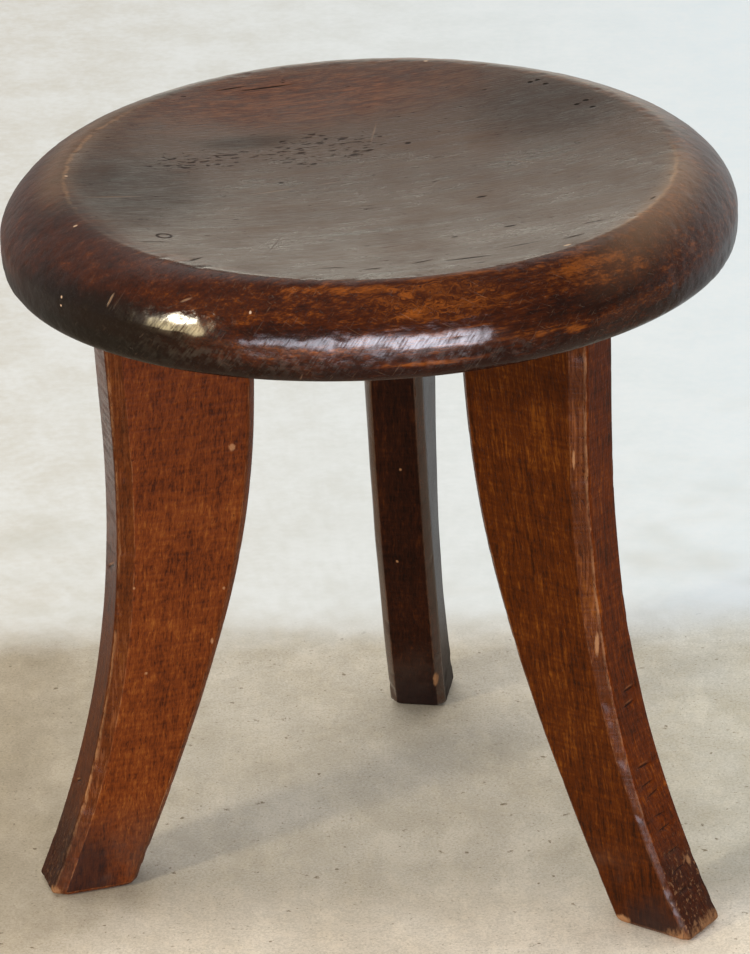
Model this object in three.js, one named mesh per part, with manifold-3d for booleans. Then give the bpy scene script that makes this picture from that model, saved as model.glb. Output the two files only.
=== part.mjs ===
// A three-legged wooden stool: a thick dished seat and three sabre legs, each tenoned into its underside.
// Millimetres, +Z up. The origin is on the floor under the middle of the seat, and -Y is the front.
import * as THREE from "three";
import { mergeVertices } from "three/addons/utils/BufferGeometryUtils.js";
import Module from "manifold-3d";

const wasm = await Module();
wasm.setup();

// Gap between two pieces that touch on the real stool.
const CLEARANCE = 0.3;

// Seat slab. It has shrunk across its grain, so it is a little longer one way than the other.
const SEAT_HEIGHT = 390;
const SEAT_THICKNESS = 49;
const SEAT_RADIUS = 190;
const SEAT_OVAL = 0.037;
const SEAT_OVAL_BEARING = 41;
// The widest line of the rim lies this far below the crest.
const GIRTH_DROP = 29;
// The underside is this much smaller in radius than the widest line.
const UNDER_INSET = 9;
// Exponents of the rim's outline: 1 is a quarter ellipse, 2 a straight bevel, less than 1 squarish.
const RIM_BEVEL = 1.31;
const UNDER_BEVEL = 0.5;

// Hollow of the seat. Its edge, the crest, is cut a little oval and lies nearer to the front.
const DISH_DEPTH = 11;
const DISH_INSET = 29;
const DISH_OVAL = 0.031;
const DISH_OVAL_BEARING = 69;
const DISH_OFFSET_X = 0.5;
const DISH_OFFSET_Y = -9;
const CREST_ROUND = 2;

// Legs, all cut from one plank thickness, with planed arrises.
const LEG_THICKNESS = 33;
const OUTER_ARRIS_ON_SIDE = 8;
const OUTER_ARRIS_ON_EDGE = 4.5;
const INNER_ARRIS = 4.5;
const FOOT_EASING = 2.5;

// Each leg was shaped by hand, so each has its own place and reach.
// Aside is how far a leg's plane passes the middle, setback how far its head lies in from the widest line
// of the seat, and splay how far its foot reaches beyond its head.
const LEFT_ASIDE = 1.5;
const LEFT_SETBACK = 40;
const LEFT_HEAD_WIDTH = 82;
const LEFT_SPLAY = 42;
const LEFT_FOOT_WIDTH = 48;
const RIGHT_ASIDE = -4.5;
const RIGHT_SETBACK = 47;
const RIGHT_HEAD_WIDTH = 78;
const RIGHT_SPLAY = 68;
const RIGHT_FOOT_WIDTH = 48;
const REAR_ASIDE = 4;
const REAR_SETBACK = 42;
const REAR_HEAD_WIDTH = 76;
const REAR_SPLAY = 49;
const REAR_FOOT_WIDTH = 45;

// Bearing is the direction from the middle of the seat, in degrees, and flare the slope at the foot.
// The pulls say how long each end of an edge's curve runs on straight, as a share of the leg's height.
const LEGS = [
  {
    name: "left",
    bearing: 196.4,
    aside: LEFT_ASIDE,
    setback: LEFT_SETBACK,
    headWidth: LEFT_HEAD_WIDTH,
    splay: LEFT_SPLAY,
    footWidth: LEFT_FOOT_WIDTH,
    inner: { flare: 0.42, footPull: 0.51, headPull: 0.37 },
    outer: { flare: 0.44, footPull: 0.44, headPull: 0.22 },
  },
  {
    name: "right",
    bearing: 323.9,
    aside: RIGHT_ASIDE,
    setback: RIGHT_SETBACK,
    headWidth: RIGHT_HEAD_WIDTH,
    splay: RIGHT_SPLAY,
    footWidth: RIGHT_FOOT_WIDTH,
    inner: { flare: 0.49, footPull: 0.39, headPull: 0.4 },
    outer: { flare: 0.57, footPull: 0.36, headPull: 0.32 },
  },
  {
    name: "rear",
    bearing: 79.6,
    aside: REAR_ASIDE,
    setback: REAR_SETBACK,
    headWidth: REAR_HEAD_WIDTH,
    splay: REAR_SPLAY,
    footWidth: REAR_FOOT_WIDTH,
    inner: { flare: 0.42, footPull: 0.32, headPull: 0.32 },
    outer: { flare: 0.6, footPull: 0.41, headPull: 0.37 },
  },
];

// Blind joint: a tenon on each leg's head, held in its mortise by two wedges hidden inside the seat.
const TENON_COVER = 12;
const TENON_END_GAP = 1;
const TENON_SIDE_SHOULDER = 7;
const TENON_END_SHOULDER = 10;
const WEDGE_LENGTH = 16;
const WEDGE_THICK_END = 5;
const WEDGE_THIN_END = 1.6;
const WEDGE_INSET = 15;
const KERF_EXTRA_DEPTH = 1.5;

// How finely the curved faces are divided.
const SEAT_SIDES = 84;
const DISH_STEPS = 7;
const RIM_STEPS = 8;
const LEG_STEPS = 26;

// Heights that follow from the sizes above.
const undersideHeight = SEAT_HEIGHT - SEAT_THICKNESS;
const legHeight = undersideHeight - CLEARANCE;
const mortiseDepth = SEAT_THICKNESS - DISH_DEPTH - TENON_COVER;
const mortiseFloor = undersideHeight + mortiseDepth;
const tenonTop = mortiseFloor - TENON_END_GAP;
const wedgeTop = mortiseFloor - CLEARANCE;
const tenonThickness = LEG_THICKNESS - 2 * TENON_SIDE_SHOULDER;

const seatWood = new THREE.MeshStandardMaterial({ color: 0x40261b, roughness: 0.32, metalness: 0 });
const legWood = new THREE.MeshStandardMaterial({ color: 0x6a3217, roughness: 0.38, metalness: 0 });
const wedgeWood = new THREE.MeshStandardMaterial({ color: 0xa9794a, roughness: 0.7, metalness: 0 });
for (const wood of [seatWood, legWood, wedgeWood]) wood.flatShading = true;

// Turns a closed geometry into a solid that can be joined and cut.
function solid(geometry) {
  const bare = geometry.clone();
  bare.deleteAttribute("normal");
  bare.deleteAttribute("uv");
  const merged = mergeVertices(bare, 1e-4);
  const vertProperties = new Float32Array(merged.attributes.position.array);
  const triVerts = new Uint32Array(merged.index.array);
  return new wasm.Manifold(new wasm.Mesh({ numProp: 3, vertProperties, triVerts }));
}

// Turns a solid back into a geometry.
function geometryOf(body) {
  const mesh = body.getMesh();
  const geometry = new THREE.BufferGeometry();
  geometry.setAttribute("position", new THREE.BufferAttribute(mesh.vertProperties, 3));
  geometry.setIndex(new THREE.BufferAttribute(mesh.triVerts, 1));
  geometry.computeVertexNormals();
  return geometry;
}

function part(name, geometry, material) {
  const mesh = new THREE.Mesh(geometry, material);
  mesh.name = name;
  return mesh;
}

// A box given by its lowest and highest corner.
function box(low, high) {
  const size = high.clone().sub(low);
  const geometry = new THREE.BoxGeometry(size.x, size.y, size.z);
  return geometry.translate((low.x + high.x) / 2, (low.y + high.y) / 2, (low.z + high.z) / 2);
}

// Half outline of a round seat, from the middle of the underside out and up to the middle of the dish.
// The distances from the axis become those of the oval seat afterwards.
function seatOutline() {
  const crestRadius = SEAT_RADIUS - DISH_INSET;
  const girthHeight = SEAT_HEIGHT - GIRTH_DROP;
  const underRadius = SEAT_RADIUS - UNDER_INSET;
  const outline = [new THREE.Vector2(0, undersideHeight)];
  for (let i = 0; i <= RIM_STEPS; i++) {
    const turn = ((1 - i / RIM_STEPS) * Math.PI) / 2;
    const out = Math.abs(Math.cos(turn)) ** UNDER_BEVEL;
    const down = Math.sin(turn) ** UNDER_BEVEL;
    const radius = underRadius + (SEAT_RADIUS - underRadius) * out;
    outline.push(new THREE.Vector2(radius, girthHeight - (girthHeight - undersideHeight) * down));
  }
  for (let i = 1; i <= RIM_STEPS; i++) {
    const turn = (i / RIM_STEPS) * (Math.PI / 2);
    const out = Math.abs(Math.cos(turn)) ** RIM_BEVEL;
    const up = Math.sin(turn) ** RIM_BEVEL;
    const radius = crestRadius + (SEAT_RADIUS - crestRadius) * out;
    outline.push(new THREE.Vector2(radius, girthHeight + GIRTH_DROP * up));
  }
  for (let i = 1; i <= DISH_STEPS; i++) {
    const radius = (crestRadius - CREST_ROUND) * (1 - i / DISH_STEPS);
    outline.push(new THREE.Vector2(radius, SEAT_HEIGHT - dishDrop(radius, crestRadius)));
  }
  return outline;
}

// How far the dish lies below the crest: a shallow bowl, deepest in the middle.
function dishDrop(radius, crestRadius) {
  const share = radius / crestRadius;
  return DISH_DEPTH * (1 - share * share);
}

function ovalFactor(angle, oval, bearing) {
  return 1 + oval * Math.cos(2 * (angle - THREE.MathUtils.degToRad(bearing)));
}

// Pulls the round slab to its real plan: the oval of the rim outside, that of the dish inside the crest.
function pullToPlan(geometry) {
  const place = geometry.attributes.position;
  const crestRadius = SEAT_RADIUS - DISH_INSET;
  for (let i = 0; i < place.count; i++) {
    const radius = Math.hypot(place.getX(i), place.getY(i));
    const angle = Math.atan2(place.getY(i), place.getX(i));
    const onTop = place.getZ(i) > SEAT_HEIGHT - GIRTH_DROP;
    const outward = THREE.MathUtils.clamp((radius - crestRadius) / DISH_INSET, 0, 1);
    const dish = onTop ? 1 - outward : 0;
    const rimFactor = ovalFactor(angle, SEAT_OVAL, SEAT_OVAL_BEARING);
    const dishFactor = ovalFactor(angle, DISH_OVAL, DISH_OVAL_BEARING);
    const pulled = radius * (rimFactor + (dishFactor - rimFactor) * dish);
    place.setX(i, pulled * Math.cos(angle) + DISH_OFFSET_X * dish);
    place.setY(i, pulled * Math.sin(angle) + DISH_OFFSET_Y * dish);
  }
  return geometry;
}

// A leg's edge as a curve of reach (x) against height (y), leaving the floor at the leg's flare.
function legEdge(footReach, headReach, shape) {
  const footRun = shape.footPull * legHeight;
  const headRun = shape.headPull * legHeight;
  return new THREE.CubicBezierCurve(
    new THREE.Vector2(footReach, 0),
    new THREE.Vector2(footReach - shape.flare * footRun, footRun),
    new THREE.Vector2(headReach, legHeight - headRun),
    new THREE.Vector2(headReach, legHeight),
  );
}

// The reach of an edge at a height, found by halving.
function reachAt(edge, height) {
  let low = 0;
  let high = 1;
  for (let i = 0; i < 40; i++) {
    const middle = (low + high) / 2;
    if (edge.getPoint(middle).y < height) low = middle;
    else high = middle;
  }
  return edge.getPoint((low + high) / 2).x;
}

// Where a leg's head and foot stand, measured from the middle of the seat.
function reaches(leg) {
  const headOuter = SEAT_RADIUS - leg.setback;
  const footOuter = headOuter + leg.splay;
  return { headOuter, footOuter, headInner: headOuter - leg.headWidth, footInner: footOuter - leg.footWidth };
}

// One level of a leg: a rectangle with its four corners planed off, counter-clockwise from above.
function legSection(inner, outer, height, easing) {
  const half = LEG_THICKNESS / 2 - easing;
  const innerReach = inner + easing;
  const outerReach = outer - easing;
  const side = [
    [innerReach + INNER_ARRIS, -half],
    [outerReach - OUTER_ARRIS_ON_SIDE, -half],
    [outerReach, OUTER_ARRIS_ON_EDGE - half],
  ];
  const innerCorner = [innerReach, INNER_ARRIS - half];
  const nearSide = [innerCorner, ...side];
  const farSide = nearSide.map(([x, y]) => [x, -y]).reverse();
  return [...nearSide, ...farSide].map(([x, y]) => new THREE.Vector3(x, y, height));
}

// A closed body through a stack of sections with the same number of corners each, lowest first.
function loft(sections) {
  const corners = sections[0].length;
  const points = sections.flat();
  const faces = [];
  for (let level = 0; level + 1 < sections.length; level++) {
    for (let i = 0; i < corners; i++) {
      const a = level * corners + i;
      const b = level * corners + ((i + 1) % corners);
      faces.push(a, b, b + corners, a, b + corners, a + corners);
    }
  }
  const top = (sections.length - 1) * corners;
  for (let i = 1; i + 1 < corners; i++) {
    faces.push(0, i + 1, i);
    faces.push(top, top + i, top + i + 1);
  }
  const geometry = new THREE.BufferGeometry().setFromPoints(points);
  geometry.setIndex(faces);
  return geometry;
}

function legBody(leg) {
  const at = reaches(leg);
  const inner = legEdge(at.footInner, at.headInner, leg.inner);
  const outer = legEdge(at.footOuter, at.headOuter, leg.outer);
  const sections = [legSection(reachAt(inner, 0), reachAt(outer, 0), 0, FOOT_EASING)];
  for (let i = 0; i <= LEG_STEPS; i++) {
    const height = FOOT_EASING + ((legHeight - FOOT_EASING) * i) / LEG_STEPS;
    sections.push(legSection(reachAt(inner, height), reachAt(outer, height), height, 0));
  }
  return loft(sections);
}

// The space of a leg's tenon above a height, grown on all sides by a clearance.
function tenonBox(leg, bottom, top, clearance) {
  const at = reaches(leg);
  const half = tenonThickness / 2 + clearance;
  const low = new THREE.Vector3(at.headInner + TENON_END_SHOULDER - clearance, -half, bottom);
  const high = new THREE.Vector3(at.headOuter - TENON_END_SHOULDER + clearance, half, top);
  return box(low, high);
}

// Where along the tenon its two wedges are driven.
function wedgeReaches(leg) {
  const at = reaches(leg);
  return {
    inner: at.headInner + TENON_END_SHOULDER + WEDGE_INSET,
    outer: at.headOuter - TENON_END_SHOULDER - WEDGE_INSET,
  };
}

// A wedge, or the kerf that it spreads when it is grown by a clearance.
function wedgeShape(reach, top, clearance, extraDepth) {
  const thick = WEDGE_THICK_END / 2 + clearance;
  const thin = WEDGE_THIN_END / 2 + clearance;
  const half = tenonThickness / 2 + clearance;
  const bottom = wedgeTop - WEDGE_LENGTH;
  const slope = (thick - thin) / WEDGE_LENGTH;
  const section = (height) => {
    const across = thin + slope * (height - bottom);
    const ring = [
      [reach - across, -half],
      [reach + across, -half],
      [reach + across, half],
      [reach - across, half],
    ];
    return ring.map(([x, y]) => new THREE.Vector3(x, y, height));
  };
  return loft([section(bottom - extraDepth), section(top)]);
}

function legGeometry(leg) {
  let body = solid(legBody(leg));
  body = body.add(solid(tenonBox(leg, legHeight - FOOT_EASING, tenonTop, 0)));
  for (const reach of Object.values(wedgeReaches(leg))) {
    body = body.subtract(solid(wedgeShape(reach, mortiseFloor, CLEARANCE, KERF_EXTRA_DEPTH)));
  }
  return geometryOf(body);
}

// The leg's frame: x runs out along its bearing, y across its thickness.
function legFrame(leg) {
  const frame = new THREE.Group();
  frame.rotation.z = THREE.MathUtils.degToRad(leg.bearing);
  frame.position.set(0, leg.aside, 0).applyEuler(frame.rotation);
  frame.updateMatrix();
  return frame;
}

function seatGeometry() {
  const slab = new THREE.LatheGeometry(seatOutline(), SEAT_SIDES);
  // LatheGeometry turns about Y, so the slab is stood up on Z.
  slab.rotateX(Math.PI / 2);
  let body = solid(pullToPlan(slab));
  for (const leg of LEGS) {
    const mortise = tenonBox(leg, undersideHeight - mortiseDepth, mortiseFloor, CLEARANCE);
    body = body.subtract(solid(mortise.applyMatrix4(legFrame(leg).matrix)));
  }
  return geometryOf(body);
}

const stool = new THREE.Group();
stool.add(part("seat", seatGeometry(), seatWood));
for (const leg of LEGS) {
  const frame = legFrame(leg);
  frame.add(part(`leg_${leg.name}`, legGeometry(leg), legWood));
  for (const [end, reach] of Object.entries(wedgeReaches(leg))) {
    const wedge = wedgeShape(reach, wedgeTop, 0, 0);
    frame.add(part(`wedge_${leg.name}_${end}`, wedge, wedgeWood));
  }
  stool.add(frame);
}

export default stool;
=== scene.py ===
# %% [markdown]
# # A worn three-legged stool
# A thick round seat, hollowed for sitting, stands on three outward-curving legs cut from plank. Everything
# on it was cut and polished by hand, so nothing is quite even: that is what this file rebuilds. The packed
# solids give the true size and place of each piece. Here the seat and the legs are made again with many more
# faces, so that dents, worn edges and small nicks are real shape, and then they get their woods.

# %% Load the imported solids
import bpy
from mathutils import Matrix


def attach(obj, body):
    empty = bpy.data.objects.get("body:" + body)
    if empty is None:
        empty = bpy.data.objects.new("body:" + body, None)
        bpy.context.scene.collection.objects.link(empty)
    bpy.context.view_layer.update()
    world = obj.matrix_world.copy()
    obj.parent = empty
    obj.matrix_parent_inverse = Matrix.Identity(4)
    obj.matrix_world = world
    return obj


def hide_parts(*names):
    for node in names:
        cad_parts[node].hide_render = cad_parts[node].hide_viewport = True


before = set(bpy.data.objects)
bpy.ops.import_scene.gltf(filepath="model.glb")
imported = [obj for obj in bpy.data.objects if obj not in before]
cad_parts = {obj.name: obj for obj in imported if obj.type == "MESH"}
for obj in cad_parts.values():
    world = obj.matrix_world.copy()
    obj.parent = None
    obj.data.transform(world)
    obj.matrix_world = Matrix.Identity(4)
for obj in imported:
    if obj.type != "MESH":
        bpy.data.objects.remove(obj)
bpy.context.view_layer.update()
print("solids:", sorted(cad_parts))

# %% Libraries and the unit of length
import math

import bmesh
import bpy
import numpy as np
from mathutils import Matrix, Vector, noise

MM = 0.001
scene = bpy.context.scene
print("one millimetre is", MM, "metres")

# %% [markdown]
# ## The camera
# The picture was taken from in front and above with a long lens, about 2.6 metres away. The outline of the
# seat, the edge of its hollow and the three feet fix where the camera stood. A camera could be aimed with a
# constraint, but three turns written one after the other stay exact: tip it down, swing it, roll it.

# %% Camera
CAMERA_PLACE = Vector((-0.0366, -2.3357, 1.2234))
CAMERA_SWING, CAMERA_TIP, CAMERA_ROLL = 0.0154, 0.4092, -0.0202
IMAGE_HEIGHT = 954
FOCAL_PIXELS = 4799.5
SENSOR = 36

camera = bpy.data.objects.new("camera", bpy.data.cameras.new("camera"))
scene.collection.objects.link(camera)
camera.data.sensor_fit = "VERTICAL"
camera.data.sensor_height = SENSOR
camera.data.sensor_width = SENSOR
camera.data.lens = FOCAL_PIXELS * SENSOR / IMAGE_HEIGHT
swing = Matrix.Rotation(-CAMERA_SWING, 4, "Z")
tip = Matrix.Rotation(math.pi / 2 - CAMERA_TIP, 4, "X")
roll = Matrix.Rotation(CAMERA_ROLL, 4, "Z")
camera.matrix_world = Matrix.Translation(CAMERA_PLACE) @ swing @ tip @ roll
scene.camera = camera
print("lens", round(camera.data.lens, 1), "mm")

# %% [markdown]
# ## Making a mesh from rings of points
# Both the seat and the legs are skins over a stack of closed rings. A modifier could turn or sweep an outline,
# but rings of points let the outline change all the way round or along, as hand work does. Points are in
# millimetres while we work, and in metres in the finished mesh.

# %% Skin over rings
def skin(name, rings, close_ends="face"):
    """A closed mesh over rings of points, lowest first, each ring turning counter-clockwise from above."""
    levels, sides = rings.shape[:2]
    points = [tuple(p) for p in rings.reshape(-1, 3) * MM]
    faces = []
    for level in range(levels - 1):
        for i in range(sides):
            a, b = level * sides + i, level * sides + (i + 1) % sides
            faces.append((a, b, b + sides, a + sides))
    last = (levels - 1) * sides
    if close_ends == "face":
        faces.append(tuple(range(sides - 1, -1, -1)))
        faces.append(tuple(last + i for i in range(sides)))
    else:
        for start, flip in ((0, True), (last, False)):
            middle = len(points)
            points.append(tuple(np.mean(points[start:start + sides], axis=0)))
            for i in range(sides):
                a, b = start + i, start + (i + 1) % sides
                faces.append((b, a, middle) if flip else (a, b, middle))
    mesh = bpy.data.meshes.new(name)
    mesh.from_pydata(points, [], faces)
    mesh.update()
    piece = bpy.data.objects.new(name, mesh)
    scene.collection.objects.link(piece)
    return piece

print("skin() makes one closed mesh from rings of points")

# %% [markdown]
# ## Hand-made surfaces
# Tools, knocks and years of rubbing leave shallow hollows. Each is a depth cut inwards along the surface's own
# direction, so a piece never grows past the solid that it stands for. A displace modifier would do it too, but
# it needs a texture for each kind of mark, while a short function of place says where each mark goes.

# %% Cutting depths into a mesh
def points_of(mesh):
    """The mesh's points and outward directions, as two arrays, points in millimetres."""
    places = np.empty(len(mesh.vertices) * 3)
    mesh.vertices.foreach_get("co", places)
    outward = np.empty(len(mesh.vertices) * 3)
    mesh.vertex_normals.foreach_get("vector", outward)
    return places.reshape(-1, 3) / MM, outward.reshape(-1, 3)

def carve(piece, depth_at):
    """Moves every point inwards by depth_at(places, outward), in millimetres."""
    places, outward = points_of(piece.data)
    depth = depth_at(places, outward)
    moved = (places - outward * depth[:, None]) * MM
    piece.data.vertices.foreach_set("co", moved.ravel())
    piece.data.update()
    print(piece.name, "is carved up to", round(float(depth.max()), 2), "mm deep")

def uneven(places, size, seed):
    """Smooth unevenness from 0 to 1 at each place; size is the width of its humps, in millimetres."""
    shift = Vector((seed * 17.3, seed * 5.1, seed * 9.7))
    return np.array([0.5 + 0.5 * noise.noise(Vector(p) / size + shift) for p in places])

def steps(values, low, high):
    """0 below low, 1 above high and a soft step between."""
    t = np.clip((values - low) / (high - low), 0, 1)
    return t * t * (3 - 2 * t)

print("carve() is ready")

# %% [markdown]
# ## The seat
# The seat is one thick slab. Its rim is a fat round, fuller behind than in front, over a squarish lower edge.
# The hollow is a shallow bowl whose edge, the crest, isn't quite round and lies a little nearer to the front.
# Rings run from under the middle, up round the rim and over the crest to the middle of the hollow.

# %% Sizes of the seat
SEAT_TOP = 390
SEAT_UNDERSIDE = 341
SEAT_RADIUS = 190
GIRTH = 361
UNDER_RADIUS = 181
CREST_RADIUS = 161
DISH_DEPTH = 11
DISH_MIDDLE = np.array([0.5, -9.0])
RIM_OVAL, RIM_OVAL_BEARING = 0.037, math.radians(41)
DISH_OVAL, DISH_OVAL_BEARING = 0.031, math.radians(69)
RIM_FULLNESS, MORE_BEHIND, FULLEST_BEARING = 1.53, 0.42, math.radians(95)
GIRTH_SAG = 4
SEAT_SIDES = 720
print("the seat is", 2 * SEAT_RADIUS, "mm across and", SEAT_TOP - SEAT_UNDERSIDE, "mm thick")

# %% Outline of the seat
def corner(count, power):
    """A quarter turn from (1, 0) to (0, 1): power 2 is a circle, more is squarer, less is flatter."""
    turn = np.linspace(0, math.pi / 2, count)
    size = (np.cos(turn) ** power + np.sin(turn) ** power) ** (-1 / power)
    return np.cos(turn) * size, np.sin(turn) * size

def seat_outline(fullness, girth):
    """Radius and height of the outline, from under the middle round to near the middle of the hollow."""
    low_out, low_down = corner(18, 4)
    high_out, high_up = corner(36, fullness)
    under = np.linspace(8, UNDER_RADIUS - 3, 14)
    dish = np.concatenate([np.linspace(CREST_RADIUS - 1.5, 130, 16), np.linspace(127, 4, 42)])
    radius = np.concatenate([
        under,
        (UNDER_RADIUS + (SEAT_RADIUS - UNDER_RADIUS) * low_out)[::-1],
        (CREST_RADIUS + (SEAT_RADIUS - CREST_RADIUS) * high_out)[1:],
        dish,
    ])
    height = np.concatenate([
        np.full(len(under), SEAT_UNDERSIDE),
        (girth - (girth - SEAT_UNDERSIDE) * low_down)[::-1],
        (girth + (SEAT_TOP - girth) * high_up)[1:],
        SEAT_TOP - DISH_DEPTH * (1 - (dish / CREST_RADIUS) ** 2),
    ])
    return radius, height

print("the outline has", len(seat_outline(RIM_FULLNESS, GIRTH)[0]), "rings")

# %% The slab
def seat_rings():
    """Rings of points of the whole slab: the outline, pulled to the oval plan of the rim and the hollow."""
    columns = []
    for angle in np.linspace(0, 2 * math.pi, SEAT_SIDES, endpoint=False):
        behind = 0.5 + 0.5 * math.cos(angle - FULLEST_BEARING)
        degrees = (math.degrees(angle) + 180) % 360 - 180
        sag = GIRTH_SAG * steps(degrees, -98, -72) * (1 - steps(degrees, -20, 20))
        radius, height = seat_outline(RIM_FULLNESS + MORE_BEHIND * behind ** 2, GIRTH - sag)
        outward = np.clip((radius - CREST_RADIUS) / (SEAT_RADIUS - CREST_RADIUS), 0, 1)
        dish = np.where(height > GIRTH, 1 - outward, 0)
        rim_pull = 1 + RIM_OVAL * math.cos(2 * (angle - RIM_OVAL_BEARING))
        dish_pull = 1 + DISH_OVAL * math.cos(2 * (angle - DISH_OVAL_BEARING))
        reach = radius * (rim_pull + (dish_pull - rim_pull) * dish)
        x = reach * math.cos(angle) + DISH_MIDDLE[0] * dish
        y = reach * math.sin(angle) + DISH_MIDDLE[1] * dish
        columns.append(np.stack([x, y, height], axis=1))
    return np.stack(columns, axis=1)

seat = skin("seat_slab", seat_rings(), close_ends="fan")
print("the slab has", len(seat.data.polygons), "faces")

# %% [markdown]
# The rim looks hammered: it was shaped with many small cuts and then knocked about, so its gloss breaks up. The
# crest is rubbed down unevenly and has a few bites out of it. The hollow only waves a little.

# %% Dents and wear of the seat
def from_crest(places):
    """How far outside the crest each place lies, in millimetres; less than 0 in the hollow."""
    across = places[:, :2] - DISH_MIDDLE
    reach = np.hypot(across[:, 0], across[:, 1])
    angle = np.arctan2(across[:, 1], across[:, 0])
    return reach / (1 + DISH_OVAL * np.cos(2 * (angle - DISH_OVAL_BEARING))) - CREST_RADIUS

def seat_depths(places, outward):
    """Depth of the dents and wear at each place of the seat."""
    out = from_crest(places)
    on_top = places[:, 2] > SEAT_UNDERSIDE + 1
    rim = steps(out, 4, 12) * on_top
    crest = np.exp(-(out / 3.5) ** 2) * (places[:, 2] > GIRTH)
    dents = steps(uneven(places, 4.8, 6), 0.45, 0.8) * 0.13 + steps(uneven(places, 9, 1), 0.5, 0.85) * 0.2
    waves = steps(uneven(places, 17, 2), 0.4, 0.8) * 0.22 + uneven(places, 45, 3) * 0.5
    bites = steps(uneven(places, 5.0, 4), 0.6, 0.85) * 0.5 * crest
    at_left_front = np.exp(-((places[:, 0] + 112) / 42) ** 2) * (1 - steps(places[:, 1], -60, -10))
    rolled = np.exp(-(out / 8) ** 2) * 0.45 * at_left_front * (places[:, 2] > GIRTH)
    worn = crest * 0.25 + bites + rolled
    return 0.12 + rim * (dents + waves) + worn + (1 - rim) * on_top * uneven(places, 38, 5) * 0.25

carve(seat, seat_depths)

# %% [markdown]
# ## The legs
# Each leg is a board whose two edges are free curves: nearly straight at the head, flaring at the foot. Its four
# long corners are planed off, the outer two more broadly. Every leg has its own place, reach and curve. A curve
# object with a bevel can't change its section, so rings are stacked here too, about a millimetre apart.

# %% Sizes of the legs
LEG_THICKNESS = 33
LEG_HEIGHT = SEAT_UNDERSIDE - 0.3
OUTER_ARRIS = (8, 4.5)
INNER_ARRIS = (4.5, 4.5)
SOLE_EASING = 3.5
LEGS = {
    "left": dict(bearing=196.4, aside=1.5, head=150, head_width=82, splay=42, foot_width=48, toe=(4, 6),
                 inner=(0.42, 0.51, 0.37), outer=(0.44, 0.44, 0.22), narrows=0.15),
    "right": dict(bearing=323.9, aside=-4.5, head=143, head_width=78, splay=68, foot_width=48, toe=(6, 6.5),
                  inner=(0.49, 0.39, 0.40), outer=(0.57, 0.36, 0.32), narrows=0.5),
    "rear": dict(bearing=79.6, aside=4, head=148, head_width=76, splay=49, foot_width=45, toe=(4, 6),
                 inner=(0.42, 0.32, 0.32), outer=(0.60, 0.41, 0.37), narrows=0),
}
NARROW_HEIGHTS = (30, 190)
EDGE_ROUND = 1.1
EDGE_POINTS = [3, 20, 4, 14, 4, 20, 3, 14]
print(len(LEGS), "legs,", LEG_THICKNESS, "mm thick")

# %% Edges of a leg
def leg_edge(foot, head, shape, heights):
    """Reach of an edge at each height: it leaves the floor at a slope and arrives upright under the seat."""
    slope, foot_pull, head_pull = shape
    run, fall = foot_pull * LEG_HEIGHT, head_pull * LEG_HEIGHT
    t = np.linspace(0, 1, 600)[:, None]
    ends = np.array([[foot, 0], [foot - slope * run, run], [head, LEG_HEIGHT - fall], [head, LEG_HEIGHT]])
    curve = (1 - t) ** 3 * ends[0] + 3 * t * (1 - t) ** 2 * ends[1] + 3 * t * t * (1 - t) * ends[2] + t ** 3 * ends[3]
    return np.interp(heights, curve[:, 1], curve[:, 0])

def leg_edges(leg, heights):
    """Inner and outer reach of a leg at each height."""
    foot = leg["head"] + leg["splay"]
    inner = leg_edge(foot - leg["foot_width"], leg["head"] - leg["head_width"], leg["inner"], heights)
    return inner, leg_edge(foot, leg["head"], leg["outer"], heights)

print("left foot reaches", leg_edges(LEGS["left"], np.array([0.0])))

# %% Section of a leg
def arris_share(leg, height):
    """How broad the planed corners are at a height: on the right leg they narrow towards the foot."""
    return 1 - leg["narrows"] * (1 - steps(height, *NARROW_HEIGHTS))

def leg_section(inner, outer, height, inset, toe, share):
    """One ring: a rectangle with planed corners, each of the eight new edges slightly rounded."""
    half = LEG_THICKNESS / 2 - inset
    low, high = inner + inset, outer - toe
    a, b, c, d = share * np.array([*INNER_ARRIS, *OUTER_ARRIS])
    near = [(low, b - half), (low + a, -half), (high - c, -half), (high, d - half)]
    corners = np.array(near + [(x, -y) for x, y in near[::-1]])
    ring = []
    for i, point in enumerate(corners):
        before, after = corners[i - 1] - point, corners[(i + 1) % 8] - point
        before, after = before / np.linalg.norm(before), after / np.linalg.norm(after)
        for t in np.linspace(0, 1, 4):
            ring.append(point + EDGE_ROUND * ((1 - t) ** 2 * before + t ** 2 * after))
        nxt = corners[(i + 1) % 8]
        stretch = np.linalg.norm(nxt - point)
        for k in range(1, EDGE_POINTS[i]):
            t = (EDGE_ROUND + (stretch - 2 * EDGE_ROUND) * k / EDGE_POINTS[i]) / stretch
            ring.append(point + (nxt - point) * t)
    return np.array([(x, y, height) for x, y in ring])

print("a ring has", len(leg_section(50, 130, 0, 0, 0, 1)), "points")

# %% [markdown]
# Under the seat each leg is held by a stub tenon in a blind mortise, spread by two hidden wedges. The tenon is
# part of the leg, so its rings go on above the shoulder, squeezed to the tenon's outline. The kerfs for the
# wedges and the mortises in the seat are cut out with booleans, because they are plain straight cuts.

# %% Sizes of the joints
TENON_TOP = 366
MORTISE_FLOOR = 367
SHOULDERS = (10, 7)
JOINT_GAP = 0.3
WEDGE_LENGTH, WEDGE_INSET = 16, 15
KERF_FOOT = MORTISE_FLOOR - JOINT_GAP - WEDGE_LENGTH - 1.5
KERF_TOP_WIDTH, KERF_FOOT_WIDTH = 5.6, 1.9
print("each tenon stands", TENON_TOP - LEG_HEIGHT, "mm into the seat")

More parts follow.
